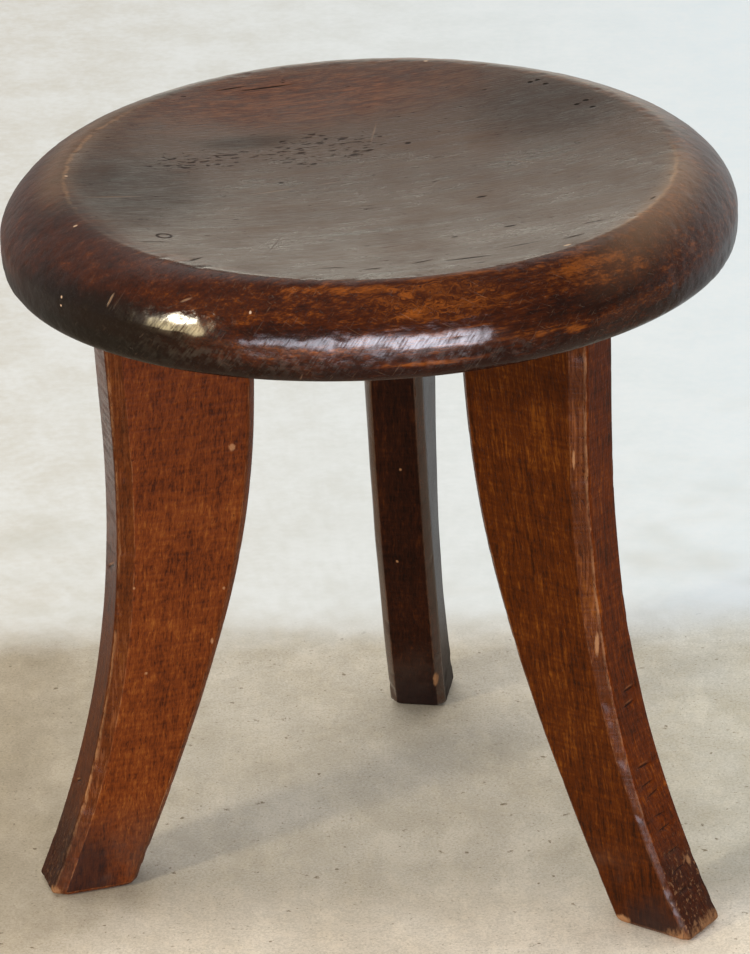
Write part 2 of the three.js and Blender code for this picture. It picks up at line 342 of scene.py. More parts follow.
# %% Straight cuts
def block(name, low, high, thin=None):
    """A box from its lowest to its highest corner, or a wedge that is only thin mm thick at its foot."""
    x0, y0, z0, x1, y1, z1 = *low, *high
    middle = (x0 + x1) / 2
    f0, f1 = (x0, x1) if thin is None else (middle - thin / 2, middle + thin / 2)
    rings = np.array([
        [(f0, y0, z0), (f1, y0, z0), (f1, y1, z0), (f0, y1, z0)],
        [(x0, y0, z1), (x1, y0, z1), (x1, y1, z1), (x0, y1, z1)],
    ], float)
    return skin(name, rings)

def cut(piece, cutter):
    """Cuts the cutter out of the piece and deletes it."""
    modifier = piece.modifiers.new("cut", "BOOLEAN")
    modifier.operation, modifier.solver, modifier.object = "DIFFERENCE", "EXACT", cutter
    ready = piece.evaluated_get(bpy.context.evaluated_depsgraph_get())
    made = bpy.data.meshes.new_from_object(ready)
    piece.modifiers.clear()
    old, piece.data = piece.data, made
    bpy.data.meshes.remove(old)
    bpy.data.objects.remove(cutter)
    made.name = piece.name

def turn_to(piece, leg):
    """Turns a piece from the leg's own frame, x outwards along its bearing, to its place on the stool."""
    move = Matrix.Rotation(math.radians(leg["bearing"]), 4, "Z") @ Matrix.Translation((0, leg["aside"] * MM, 0))
    piece.data.transform(move)
    return piece

print("cut() and turn_to() are ready")

# %% Leg boards
def leg_board(name, leg):
    """A leg in its own frame: rings from the rounded sole to the shoulder, then two for the tenon."""
    heights = np.concatenate([[0, 0.15, 0.5, 1.1, 1.9, 2.7], np.linspace(SOLE_EASING, LEG_HEIGHT, 310)])

    def eased(high, reach):
        """How far a quarter round of this height and reach stands back at each height."""
        return reach * (1 - np.sqrt(1 - np.clip(1 - heights / high, 0, 1) ** 2))

    inner, outer = leg_edges(leg, heights)
    rows = zip(inner, outer, heights, eased(SOLE_EASING, SOLE_EASING), eased(*leg["toe"]), arris_share(leg, heights))
    rings = [leg_section(*row) for row in rows]
    end, side = SHOULDERS
    low, high = leg["head"] - leg["head_width"] + end, leg["head"] - end
    half = LEG_THICKNESS / 2 - side
    shoulder = rings[-1]
    across, thick = np.clip(shoulder[:, 0], low, high), np.clip(shoulder[:, 1], -half, half)
    rings += [np.stack([across, thick, np.full(len(across), height)], axis=1) for height in (LEG_HEIGHT, TENON_TOP)]
    board = skin("leg_" + name + "_board", np.stack(rings))
    shape = bmesh.new()
    shape.from_mesh(board.data)
    bmesh.ops.remove_doubles(shape, verts=shape.verts, dist=0.01 * MM)
    shape.to_mesh(board.data)
    shape.free()
    return board

boards = {name: leg_board(name, leg) for name, leg in LEGS.items()}
print({name: len(board.data.polygons) for name, board in boards.items()})

# %% [markdown]
# The faces of a leg wave slightly under the fingers, their long edges are knocked and rubbed, and the feet
# are scuffed. Nicks are small grooves across the outer face, left by an edge tool that slipped.

# %% Nicks: height, rise across the face, start and end across the face, depth
NICKS = {
    "left": [(182, 18, -6, 6, 0.5), (60, 20, -8, 2, 0.4)],
    "right": [(128, 0, -3, 7, 0.9), (121, 2, -6, 5, 0.7), (88, -3, -8, 5, 1.0), (79, 0, -9, 3, 0.8),
              (73, 3, -6, 7, 0.9), (62, -2, -8, 4, 0.7), (55, 1, -7, 6, 0.8), (43, 0, -8, 8, 0.9),
              (34, 2, -7, 6, 0.7), (24, -1, -9, 7, 0.9)],
    "rear": [(120, 0, -7, 5, 0.5)],
}
print({name: len(nicks) for name, nicks in NICKS.items()}, "nicks")

# %% Wear of the legs
def leg_depths(name):
    """The function that gives the depth of waves, knocks and nicks on one leg, in the leg's own frame."""
    seed = 10 + 7 * list(LEGS).index(name)

    def depth_at(places, outward):
        height = places[:, 2]
        board = height < LEG_HEIGHT - 0.5
        arris = (1 - steps(np.abs(np.abs(outward) - 0.5).min(axis=1), 0.0, 0.42)) * board
        knocks = steps(uneven(places * [1, 1, 0.6], 6, seed), 0.62, 0.85) * 0.4 * arris
        rubbed = uneven(places * [1, 1, 0.4], 16, seed + 1) * 0.3 * arris
        waves = uneven(places * [1, 1, 0.7], 26, seed + 2) * 0.5
        scuffs = steps(uneven(places, 7, seed + 3), 0.5, 0.8) * 0.5 * (1 - steps(height, 10, 45)) * (height > 1)
        depth = 0.05 + board * (waves + scuffs) + knocks + rubbed
        on_outer = steps(outward[:, 0], 0.55, 0.8)
        for level, tilt, start, stop, deep in NICKS[name]:
            line = level + tilt * places[:, 1] / LEG_THICKNESS
            groove = np.exp(-((height - line) / 0.9) ** 2)
            along = steps(places[:, 1], start - 1, start + 1) * (1 - steps(places[:, 1], stop - 1, stop + 1))
            depth += deep * groove * along * on_outer
        return depth * (height > 0.05)
    return depth_at

for name, board in boards.items():
    carve(board, leg_depths(name))

# %% Kerfs and mortises
for name, leg in LEGS.items():
    half = LEG_THICKNESS / 2 - SHOULDERS[1]
    low, high = leg["head"] - leg["head_width"] + SHOULDERS[0], leg["head"] - SHOULDERS[0]
    for middle in (low + WEDGE_INSET, high - WEDGE_INSET):
        start, stop = middle - KERF_TOP_WIDTH / 2, middle + KERF_TOP_WIDTH / 2
        kerf = block("kerf", (start, -half - 1, KERF_FOOT), (stop, half + 1, MORTISE_FLOOR), KERF_FOOT_WIDTH)
        cut(boards[name], kerf)
    hole = block("mortise", (low - JOINT_GAP, -half - JOINT_GAP, SEAT_UNDERSIDE - 5),
                 (high + JOINT_GAP, half + JOINT_GAP, MORTISE_FLOOR))
    cut(seat, turn_to(hole, leg))
    turn_to(boards[name], leg)
print("joints cut;", len(seat.data.polygons), "faces on the seat")

# %% Smooth faces with crisp edges
for piece in (seat, *boards.values()):
    piece.data.polygons.foreach_set("use_smooth", [True] * len(piece.data.polygons))
    piece.data.set_sharp_from_angle(angle=math.radians(48))
    piece.data.update()
print("shading set")

# %% [markdown]
# ## Writing materials as formulas
# A finish is many nodes, but most of them only do sums. The class below wraps one socket, so that Python's
# own + - * / add the Math nodes, and a mask reads as a formula. Every other node comes from one method.

# %% Sockets as values
class Wire:
    """One output socket in a finish. Arithmetic on it adds Math nodes."""

    def __init__(self, finish, socket):
        self.finish = finish
        self.socket = socket

    def maths(self, operation, *values):
        return self.finish.node("Math", {"operation": operation}, dict(enumerate(values)))

    def __add__(self, other):
        return self.maths("ADD", self, other)

    def __sub__(self, other):
        return self.maths("SUBTRACT", self, other)

    def __rsub__(self, other):
        return self.maths("SUBTRACT", other, self)

    def __mul__(self, other):
        return self.maths("MULTIPLY", self, other)

    def __truediv__(self, other):
        return self.maths("DIVIDE", self, other)

    def __pow__(self, other):
        return self.maths("POWER", self, other)

    def __abs__(self):
        return self.maths("ABSOLUTE", self)

    def highest(self, *others):
        """The largest of this and some others."""
        found = self
        for other in others:
            found = self.maths("MAXIMUM", found, other)
        return found

    __radd__ = __add__
    __rmul__ = __mul__

print("Wire is ready")

# %% Nodes of any kind
class Tree:
    """A tree of nodes under construction. Shift moves all its noises, so that two pieces don't look alike."""

    def __init__(self, tree, shift=(0, 0, 0)):
        self.tree = tree
        self.shift = shift

    def node(self, kind, settings=None, inputs=None, output=0):
        """Adds a node: its type, its settings, then the values or links of its sockets."""
        made = self.tree.nodes.new("ShaderNode" + kind)
        for name, value in (settings or {}).items():
            setattr(made, name, value)
        for key, value in (inputs or {}).items():
            socket = made.inputs[key]
            if isinstance(value, Wire):
                self.tree.links.new(value.socket, socket)
            else:
                socket.default_value = (*value, 1) if socket.type == "RGBA" else value
        return Wire(self, made.outputs[output]) if made.outputs else None

print("Tree adds nodes")

# %% Masks, vectors, colours and noise
class Masks(Tree):
    """The nodes that every finish uses."""

    def smooth(self, value, low, high):
        """0 where the value is below low, 1 above high, and a soft step between."""
        inputs = {"Value": value, "From Min": low, "From Max": high}
        return self.node("MapRange", {"interpolation_type": "SMOOTHSTEP"}, inputs)

    def below(self, value, low, high):
        """The same the other way round: 1 below low and 0 above high."""
        return 1 - self.smooth(value, low, high)

    def vector(self, operation, *values, output=0):
        return self.node("VectorMath", {"operation": operation}, dict(enumerate(values)), output)

    def turned(self, vector, degrees, axis="Z"):
        inputs = {"Vector": vector, "Angle": math.radians(degrees)}
        return self.node("VectorRotate", {"rotation_type": axis + "_AXIS"}, inputs)

    def split(self, vector):
        made = self.node("SeparateXYZ", None, {0: vector})
        return [made] + [Wire(self, made.socket.node.outputs[i]) for i in (1, 2)]

    def mix(self, share, first, second):
        """From the first colour to the second."""
        return self.node("Mix", {"data_type": "RGBA"}, {0: share, 6: first, 7: second}, 2)

    def tinted(self, colour, tint, share=1.0):
        """A colour times a tint."""
        return self.node("Mix", {"data_type": "RGBA", "blend_type": "MULTIPLY"}, {0: share, 6: colour, 7: tint}, 2)

    def noise(self, place, size, detail=3, rough=0.6, shift=None):
        """Cloudy noise from 0 to 1. Size is the width of its clouds in millimetres, one number or three."""
        size = (size,) * 3 if isinstance(size, (int, float)) else size
        scaled = self.vector("MULTIPLY_ADD", place, tuple(1 / s for s in size), shift or self.shift)
        return self.node("TexNoise", None, {"Vector": scaled, "Scale": 1.0, "Detail": detail, "Roughness": rough})

print("Masks adds masks, mixes and noises")

# %% Marks in known places
class Marks(Masks):
    """Masks for marks that are listed one by one."""

    def nearest(self, ways):
        """The length of the shortest of several vectors."""
        found = None
        for way in ways:
            far = self.vector("LENGTH", way, output=1)
            found = far if found is None else found.maths("MINIMUM", found, far)
        return found

    def spots(self, place, marks):
        """How near a place is to the nearest of some oval marks: 0 in its middle, 1 at its edge, more outside.
        A mark is its middle, its three half sizes and its turn about the third axis in degrees."""
        ways = []
        for middle, sizes, turn in marks:
            away = self.vector("SUBTRACT", place, middle)
            away = self.turned(away, -turn) if turn else away
            ways.append(self.vector("MULTIPLY", away, tuple(1 / s for s in sizes)))
        return self.nearest(ways)

    def strokes(self, place, lines):
        """The same for thin straight marks. A mark is its two ends and half its width."""
        ways = []
        for start, end, half_width in lines:
            start, end = Vector(start), Vector(end)
            run = end - start
            axis, angle = run.rotation_difference(Vector((1, 0, 0))).to_axis_angle()
            away = self.vector("SUBTRACT", place, tuple((start + end) / 2))
            turn = {"Vector": away, "Axis": tuple(axis), "Angle": angle}
            away = self.node("VectorRotate", {"rotation_type": "AXIS_ANGLE"}, turn)
            ways.append(self.vector("MULTIPLY", away, (2 / run.length, 1 / half_width, 1 / half_width)))
        return self.nearest(ways)

print("Marks adds spots and strokes")

# %% One finish
class Finish(Marks):
    """A material under construction."""

    def __init__(self, name, shift=(0, 0, 0)):
        self.material = bpy.data.materials.new(name)
        self.material.use_nodes = True
        super().__init__(self.material.node_tree, shift)
        self.shader = self.tree.nodes["Principled BSDF"]

    def set(self, **values):
        """Sets or links the shader's own sockets; an underscore stands for a space."""
        for name, value in values.items():
            socket = self.shader.inputs[name.replace("_", " ")]
            if isinstance(value, Wire):
                self.tree.links.new(value.socket, socket)
            else:
                socket.default_value = value

    def dress(self, piece):
        """Gives a piece this finish and no other."""
        piece.data.materials.clear()
        piece.data.materials.append(self.material)

print("Finish is ready")

# %% Places in millimetres
def own_place(finish, bearing=0.0, aside=0.0):
    """The place on the piece in millimetres, turned so that x runs along a bearing in degrees."""
    turned = finish.turned(finish.node("TexCoord", output="Object"), -bearing)
    return finish.vector("MULTIPLY_ADD", turned, (1 / MM,) * 3, (0, -aside, 0))

def own_direction(finish, bearing):
    """The direction that the surface faces, turned in the same way."""
    return finish.turned(finish.node("TexCoord", output="Normal"), -bearing)

print("own_place() and own_direction() are ready")

# %% [markdown]
# ## The seat's wood
# A dense red-brown tropical wood under old dark polish. Its grain runs across the seat, about 17 degrees off the
# X axis. Fine fibres, broader streaks and short open pores make it wood; dark polish has gathered in the
# low places, and the high ones are rubbed to an orange brown. The crest is rubbed to bare tan wood.
# An image could show all this from one side, but masks built from place and noise hold from every side.

# %% Colours of the seat
SEAT_BLACK = (0.005, 0.003, 0.002)
SEAT_DARK = (0.014, 0.004, 0.002)
SEAT_BROWN = (0.038, 0.008, 0.002)
SEAT_ORANGE = (0.18, 0.047, 0.006)
SEAT_RED = (0.090, 0.026, 0.008)
SEAT_TAN = (0.34, 0.20, 0.11)
HOLLOW_TINT = (0.95, 1.25, 1.1)
PALE_FIBRES = ((0.12, 0.095, 0.07), (0.20, 0.075, 0.035))
SPLINTER = (0.45, 0.31, 0.21)
SEAT_GRAIN_BEARING = 17
print("seat colours set")

# %% [markdown]
# ### Marks of use on the seat
# The hollow has a few long drying cracks, short pits where grain tore out, a small knot, and fine scratches. The rim
# has nicks, darker and brighter patches, and a swirl where a branch once grew. Each mark is listed
# with its own place, because they aren't spread evenly; only the smallest pits are scattered by noise.

# %% Marks in the hollow, places from above
def flat(x, y):
    """A place in the hollow. Heights there count a tenth, so that a mark follows the bowl."""
    return (x, y, SEAT_TOP / 10 - 0.5)

CRACKS = [(flat(*a), flat(*b), w) for a, b, w in [
    ((-84, 115), (-62, 125), 1.0), ((-74, 115), (-32, 131), 1.1), ((-93, -143), (-84, -132), 1.0),
    ((-8, -155), (4, -152), 1.0), ((16, -147), (29, -139), 0.9), ((29, -145), (61, -138), 1.1),
    ((91, -122), (106, -114), 1.0), ((102, -98), (119, -94), 0.8), ((139, -72), (143, -66), 0.9),
    ((-120, -112), (-98, -108), 0.8), ((60, -128), (84, -119), 0.7), ((-30, -151), (-14, -149), 0.8),
]]
FAINT_LINES = [(flat(-54, -126), flat(-44, -85), 0.7), (flat(-8, -120), flat(20, -108), 0.7)]
SCRATCHES = [(flat(*a), flat(*b), w) for a, b, w in [
    ((-150, -46), (-113, -35), 0.9), ((-67, -28), (-30, -10), 1.1), ((-32, -11), (-10, -2), 1.1),
    ((0, 40), (6, 84), 0.9), ((-11, 155), (1, 155), 0.8), ((60, 20), (96, 4), 0.7), ((-20, -70), (30, -62), 0.6),
]]
PITS = [(flat(x, y), (a, b, 1), SEAT_GRAIN_BEARING) for x, y, a, b in [
    (56, -37, 4, 1.5), (68, -89, 4, 1.1), (40, -101, 2.2, 1.1), (21, 48, 2.2, 1.5), (-46, -7, 2, 1.5),
    (89, 118, 2, 1.5), (93, 120, 2, 1.5), (97, 114, 2.2, 1.4), (112, 83, 2, 1.5), (117, 87, 2.2, 1.5),
    (120, 77, 2.2, 1.5),
]]
TORN_FIELDS = [(flat(-25, 42), (46, 27, 3), 20), (flat(-85, 22), (40, 16, 3), 20)]
KNOT = [(flat(-104.5, -98.7), (4.2, 4.2, 2), 0)]
RED_PATCHES = [(flat(-42, 112), (112, 46, 3), 15)]
# The patches in the next list are painted shade: the hollow is darkened where its polish mirrors darker surroundings.
DARK_MIRROR_PATCHES = [(flat(100, 85), (56, 62, 3), 0), (flat(-120, -30), (46, 70, 3), 0), (flat(-63, 50), (34, 11, 3), 15)]
print(len(CRACKS), "cracks,", len(SCRATCHES), "scratches and", len(PITS), "pits in the hollow")

# %% Marks on the rim
RIM_SCRATCHES = [
    ((-133, -143, 366), (-128, -142, 375), 0.9), ((-97, -163, 376), (-89, -164, 379), 0.8),
    ((107.6, -147.7, 358), (107.7, -146, 345), 0.7), ((132, -125, 356), (134, -123, 346), 0.8),
    ((-45, -183.6, 342.5), (-42, -186, 349), 0.8), ((-39, -185, 342.5), (-37, -187, 348), 0.8),
    ((88, -160, 359), (90, -158, 349), 0.6),
]
FLECKS = [
    ((-149, -85, 388), (1.4, 1.0, 2), 0), ((-156, -15, 389), (1.1, 1.1, 2), 0), ((34, 155, 389), (1.5, 1.1, 2), 0),
    ((-155.5, -119, 363.4), (0.9, 0.9, 0.9), 0), ((-156, -119, 359), (0.8, 0.8, 0.8), 0),
    ((-62, -178, 376), (0.8, 0.8, 1.3), 0), ((94, -132.5, 389), (2.6, 1.1, 2), 30),
]
BRIGHT_PATCHES = [
    ((96, -155, 354), (9, 7, 3.2), -30), ((79, -165.6, 356), (4, 4, 2), 0), ((100, -143, 382), (44, 8, 3), 38),
    ((26, -181, 350), (34, 8, 2.4), 8), ((-20, -176, 386), (40, 8, 1.6), 0), ((16, -183, 374.5), (6, 4, 2.4), 0),
]
BLACK_PATCHES = [((-138, -132, 358), (70, 50, 16), -40)]
DEEP_PATCHES = [((105, -146, 365), (56, 26, 9), 35), ((-40, -182, 366), (40, 12, 6), 0)]
BUFFED_PATCHES = [
    ((-97, -167, 365.5), (26, 10, 5.5), -27), ((-25, -187, 362), (52, 8, 5.5), -5),
    ((26, -184.5, 360.5), (40, 10, 6), 12),
]
SHEEN_PATCHES = [((-60, -176, 353), (80, 22, 9), -16), ((40, -178, 352), (60, 14, 7), 12)]
SWIRL = [((30, -180, 379), (44, 22, 10), 10)]
print(len(RIM_SCRATCHES), "scratches and", len(FLECKS), "flecks on the rim")

# %% [markdown]
# ### From the hollow to the rim
# The hollow and the rim are worn in different ways, so the first mask tells them apart. It uses the same oval
# as the crest of the shape. At the left front, where the crest is rolled over, the change is softer.

# %% Hollow and rim
wood = Finish("seat_wood")
place = own_place(wood)
level = wood.vector("MULTIPLY", place, (1, 1, 0.1))
x, y, z = wood.split(place)
dx, dy = x - float(DISH_MIDDLE[0]), y - float(DISH_MIDDLE[1])
reach2 = dx * dx + dy * dy
turn = (dx * dx - dy * dy) * math.cos(2 * DISH_OVAL_BEARING) + dx * dy * (2 * math.sin(2 * DISH_OVAL_BEARING))
out = (reach2 ** 0.5) / (turn / reach2 * DISH_OVAL + 1) - CREST_RADIUS
high = wood.smooth(z, GIRTH, GIRTH + 6)
left_front = wood.below(x, -90, -30) * wood.below(y, -60, -10)
hollow = wood.below(out + left_front * 4, left_front * -6 - 3, left_front * 4 + 2) * high
rim = 1 - hollow
print("hollow told from rim with", len(wood.tree.nodes), "nodes")

# %% Grain of the seat, bent by a swirl in one stretch of the rim
swirl = wood.below(wood.spots(place, SWIRL), 0.5, 1.2)
bend = wood.noise(place, (14, 14, 8))
push = wood.node("CombineXYZ", None, {0: 0.0, 1: swirl * (bend - 0.5) * 26, 2: swirl * (bend - 0.5) * 22})
along = wood.vector("ADD", own_place(wood, SEAT_GRAIN_BEARING), push)
fibres = wood.noise(along, (55, 0.9, 0.9))
streaks = wood.noise(along, (110, 6, 4), detail=4, rough=0.62)
mottle = wood.noise(along, (12, 2.6, 1.7), detail=4, rough=0.7)
short = wood.noise(along, (8, 1.3, 1.3), detail=4, rough=0.7)
bands = wood.noise(along, (320, 30, 16), detail=3, rough=0.5, shift=(3.1, 1.7, 0.4))
clouds = wood.noise(place, 38, detail=4, rough=0.6)
ragged = wood.noise(place, 9, detail=4, rough=0.65)
open_pores = wood.smooth(wood.noise(along, (5.5, 0.42, 0.42), detail=1, rough=0.4), 0.66, 0.74)
print("grain from fibres, streaks, bands and pores")

# %% Patches of the seat
black = wood.below(wood.spots(place, BLACK_PATCHES) + ragged * 0.5, 0.7, 1.5)
bright = wood.below(wood.spots(place, BRIGHT_PATCHES) + ragged * 0.6, 0.7, 1.5)
deep = wood.below(wood.spots(place, DEEP_PATCHES) + ragged * 0.6, 0.6, 1.5)
red = wood.below(wood.spots(level, RED_PATCHES) + ragged * 0.5 + streaks * 0.8 - 0.4, 0.6, 1.6)
# Painted shade: in these patches the hollow's colour goes towards black, where its polish mirrors darker
# surroundings.
dark_mirror = wood.below(wood.spots(level, DARK_MIRROR_PATCHES) + ragged * 0.4, 0.5, 1.4)
# Painted shade: low darkens the lower rim where it turns under, and under takes the lowest edge of the rim's left
# half towards black.
low = wood.below(z + ragged * 8, 352, 364)
under = wood.below(z, 346, 356) * wood.below(x, -60, 10) * (1 - bright)
calm = wood.below(x, -120, -30)
print("patches placed")

# %% Colour of the seat
tone = streaks * 0.5 + bands * 0.3 + clouds * 0.3 + fibres * (hollow * 0.15 + 0.4)
tone = tone + (mottle - 0.5) * rim * (0.8 - calm * 0.45) - calm * rim * 0.07 + rim * 0.02 - 0.30
# The low term here is painted shade on the lower rim; the other terms are the wood's own patches.
tone = tone + bright * 0.14 + swirl * 0.09 - black * 0.22 - deep * 0.2 - low * 0.22 * (1 - bright)
rusty = wood.smooth(short * 0.6 + mottle * 0.3 + streaks * 0.3, 0.5, 0.74)
pale = wood.smooth(short * 0.5 + fibres * 0.15 + mottle * 0.2 + streaks * 0.25 + clouds * 0.1, 0.56, 0.74)
pale = pale * hollow * (1 - dark_mirror * 0.7)
colour = wood.mix(wood.smooth(tone, 0.22, 0.50), SEAT_DARK, SEAT_BROWN)
colour = wood.mix(wood.smooth(tone, 0.44, 0.80) * (1 - hollow * 0.85), colour, SEAT_ORANGE)
colour = wood.mix(red * hollow * rusty, colour, SEAT_RED)
# In this mix, the patches in the hollow are painted shade where its polish mirrors darker surroundings.
# In this mix, under is painted shade at the lowest edge of the rim's left half.
colour = wood.mix(black * 0.8 * rim + dark_mirror * 0.5 * hollow + under * 0.6, colour, SEAT_BLACK)
colour = wood.tinted(colour, HOLLOW_TINT, hollow * (1 - red))
colour = wood.mix(pale * (red * 0.3 + 0.3), colour, wood.mix(red, *PALE_FIBRES))
print("colour laid in dark, brown, orange, red and pale")

# %% Crest, rubbed bare in a thin line at the left and the right
at_left = wood.smooth(dx, -100, -145) * wood.smooth(y, -75, -25)
at_right = wood.smooth(dx, 90, 140) * wood.below(y, -30, 25)
sides = at_left.highest(at_right)
off_line = abs(out + (ragged - 0.5) * 6)
worn = wood.below(off_line, 0.2, 2.0) * high * (sides * 0.24 + 0.05) * wood.smooth(ragged + fibres, 0.75, 1.1)
# Partly dust and partly painted sheen: paler tan just outside the crest at the sides, strongest at the right, where
# the sides mirror the bright surroundings.
dust_and_sheen = wood.below(abs(out - 5), 0, 16) * high * (sides + at_right) * 0.18
colour = wood.mix(worn + dust_and_sheen, colour, SEAT_TAN)
print("crest worn")

# %% Cracks, pits and torn grain
cracks = wood.below(wood.strokes(level, CRACKS), 0.35, 1.0)
pits = wood.below(wood.spots(level, PITS) + ragged * 0.4 - 0.2, 0.6, 1.0)
field = wood.below(wood.spots(level, TORN_FIELDS), 0.55, 1.1)
torn = wood.noise(along, (6.5, 2.2, 2.2), detail=2, rough=0.5)
torn = wood.smooth(torn + field * 0.14, 0.70, 0.77) * hollow * 0.75
knot = wood.spots(level, KNOT)
ring = wood.smooth(knot, 0.55, 0.8) * wood.below(knot, 0.9, 1.1)
holes = cracks.highest(pits, torn, ring * 0.8)
colour = wood.mix(holes * 0.95 * high + open_pores * 0.6 * (1 - holes), colour, SEAT_BLACK)
holes = holes.highest(wood.below(wood.strokes(level, FAINT_LINES), 0.2, 1.0) * 0.3)
print("holes filled with dark polish")

# %% Scratches and flecks, and fine hairs that run two ways over the rim
scratches = wood.below(wood.strokes(level, SCRATCHES), 0.3, 1.0)
nicks = wood.below(wood.strokes(place, RIM_SCRATCHES), 0.3, 1.0)
flecks = wood.below(wood.spots(place, FLECKS) + ragged * 0.5 - 0.25, 0.6, 1.0)
leaning, crossing = wood.turned(place, 55, "Y"), wood.turned(place, -30, "Y")
hairs = wood.smooth(wood.noise(leaning, (13, 3, 0.45), detail=1, rough=0.4), 0.69, 0.76)
hairs = hairs.highest(wood.smooth(wood.noise(crossing, (15, 3, 0.45), detail=1, rough=0.4), 0.70, 0.77))
hairs = hairs * (1 - calm * 0.6)
colour = wood.mix(scratches * 0.24 * high + nicks * 0.4, colour, SEAT_TAN)
colour = wood.mix(flecks * 0.9, colour, SPLINTER)
colour = wood.mix(hairs * rim * 0.12, colour, SEAT_TAN)
print("scratches drawn")

# %% Relief of the seat
facets = wood.noise(place, (4.5, 4.5, 3.5), detail=2, rough=0.5)
height = fibres * (hollow * 0.3 + 0.15) + short * hollow * 0.9 + streaks * 0.3 - open_pores * 0.6
height = height + ragged * 0.3 + rim * facets * 1.1
height = height - holes * 2.0 - scratches * 0.4 - nicks * 0.8 - hairs * rim * 0.5
bump = wood.node("Bump", None, {"Strength": 0.5, "Distance": 0.0005, "Height": height})
print("relief half a millimetre deep")

# %% [markdown]
# ### Polish of the seat
# The polish is thickest and glossiest round the front of the rim, where hands and legs rub it. The coat stands
# for that gloss and is broken by hatching; the roughness below it is for the older, duller polish.

# %% Polish
front = wood.below(y, -150, -80)
dull = (1 - front) * rim * 0.16 + hollow * 0.19 + wood.smooth(z, 370, 386) * rim * 0.06
dull = dull + wood.below(x, -140, -100) * (rim * 0.1 + 0.1) + wood.smooth(y, 30, 130) * hollow * 0.05
smeared = streaks * 0.7 + short * 0.9 + fibres * 0.3 + clouds * 0.8 - 1.35
wear = (worn + flecks) * 0.2 + holes * 0.5 + (smeared * 0.45 + dark_mirror * 0.09) * hollow
wood.set(Base_Color=colour, Roughness=0.12 + dull + wear + clouds * 0.07 + red * hollow * 0.12, Normal=bump)
hatched = wood.noise(leaning, (7, 5, 0.9), detail=3, rough=0.65)
broken = wood.smooth(hatched * 0.7 + ragged * 0.6 - hairs * 0.3, 0.42, 0.80)
buffed = wood.below(wood.spots(place, BUFFED_PATCHES) + ragged * 0.5, 0.75, 1.45)
strong = wood.smooth(x, -35, -5) + wood.below(x, -75, -60)
sheen = wood.below(wood.spots(place, SHEEN_PATCHES) + ragged * 0.5, 0.6, 1.5)
sheen = sheen * wood.smooth(facets * 0.6 + hatched * 0.4, 0.45, 0.62) * 0.55 * (1 - buffed)
wood.set(Coat_Weight=buffed * broken * (strong * 0.5 + 0.5) + sheen, Coat_Roughness=0.15, Coat_IOR=1.75)
wood.set(Specular_IOR_Level=0.13)
wood.dress(seat)
print("seat finish has", len(wood.tree.nodes), "nodes")

# %% [markdown]
# ## The legs' wood
# The same kind of wood, but redder, with its grain running down the leg. The rubbed arrises are orange, the feet
# are scuffed and dusty, and each leg has its own tone and its own length of fibres. The rear leg's much darker
# woods, the darker tops of all three legs and the tints of their outer faces are painted light and shade.

# %% Looks of each leg
RAW_TAN = (0.36, 0.18, 0.08)
# Each leg's outer-face tint is painted light and shade: the left leg's outer face, which faces the lamps, is
# darkened, and the right leg's, which faces away, is lightened.
LEG_LOOKS = {
    "left": dict(grain=6, bare=0.4, bare_below=0.35, specks=0.12, corner_gloss=0.04, ridge_gloss=0.0,
                 outer_gloss=0.4, outer_face_shading=(0.5, 0.5, 0.5), tint_from=0.2,
                 woods=((0.031, 0.007, 0.002), (0.118, 0.025, 0.004), (0.22, 0.066, 0.011))),
    "right": dict(grain=15, bare=0.5, bare_below=-0.38, specks=0.35, corner_gloss=0.05, ridge_gloss=0.35,
                  outer_gloss=0.0, outer_face_shading=(1.8, 1.5, 1.0), tint_from=0.5,
                  woods=((0.015, 0.004, 0.001), (0.053, 0.011, 0.001), (0.14, 0.041, 0.004))),
    # The rear leg's woods are painted shade: much darker, for its place under the seat.
    "rear": dict(grain=10, bare=0.1, bare_below=0.05, specks=0.08, corner_gloss=1.0, ridge_gloss=0.0,
                 outer_gloss=0.0, outer_face_shading=(1, 1, 1), tint_from=0.5,
                 woods=((0.006, 0.002, 0.001), (0.019, 0.005, 0.002), (0.055, 0.014, 0.003))),
}
print("looks of", len(LEG_LOOKS), "legs")

# %% Marks on the legs
LEG_FLECKS = {
    "left": [((-75, -40.6, 247), (2.2, 2.2, 2.2), 0), ((-128.5, -56, 175), (0.8, 0.8, 1.0), 0),
             ((-82, -42.5, 167.5), (0.9, 0.9, 1.0), 0), ((-89, -44.6, 138), (1.0, 1.0, 1.8), 0),
             ((-124, -55, 125), (1.1, 1.1, 1.1), 0), ((-176, -65, 3), (4, 5, 4), 0)],
    "right": [((99, -96.6, 259), (0.8, 0.8, 7), 0), ((110.5, -103, 157), (1.3, 1.3, 9), 0),
              ((158, -110, 34.5), (2.2, 2.2, 4), 0), ((123, -115, 3), (5, 5, 3), 0),
              ((164, -117, 0), (16, 32, 9), -36)],
    "rear": [((15, 93.3, 174), (0.9, 0.9, 1.2), 0), ((12.5, 111.6, 110), (0.9, 0.9, 1.2), 0),
             ((34, 140, 23), (2, 3, 7), 0)],
}
LEG_DIRT = {
    "left": [((-160, -68, 8), (22, 20, 40), 0)], "right": [((140, -125, 0), (22, 22, 26), 0)],
    "rear": [((28, 175, 0), (60, 60, 45), 0)],
}
print({name: len(flecks) for name, flecks in LEG_FLECKS.items()}, "pale marks on the legs")

# %% Nicks as painted lines
def nick_lines(name, leg, lift=0.0):
    """The same nicks as strokes in the leg's own frame: their bottoms are painted dark, and a pale line lies just
    above.
    """
    lines = []
    for level, tilt, start, stop, deep in NICKS[name]:
        reach = float(leg_edges(leg, np.array([float(level)]))[1][0]) - 0.4 - (0 if lift else 0.6 * deep)
        ends = [(reach, across, level + lift + tilt * across / LEG_THICKNESS) for across in (start - 1, stop + 1)]
        lines.append((*ends, 0.5 + 0.35 * deep))
    return lines

print("right leg:", len(nick_lines("right", LEGS["right"])), "nicks")

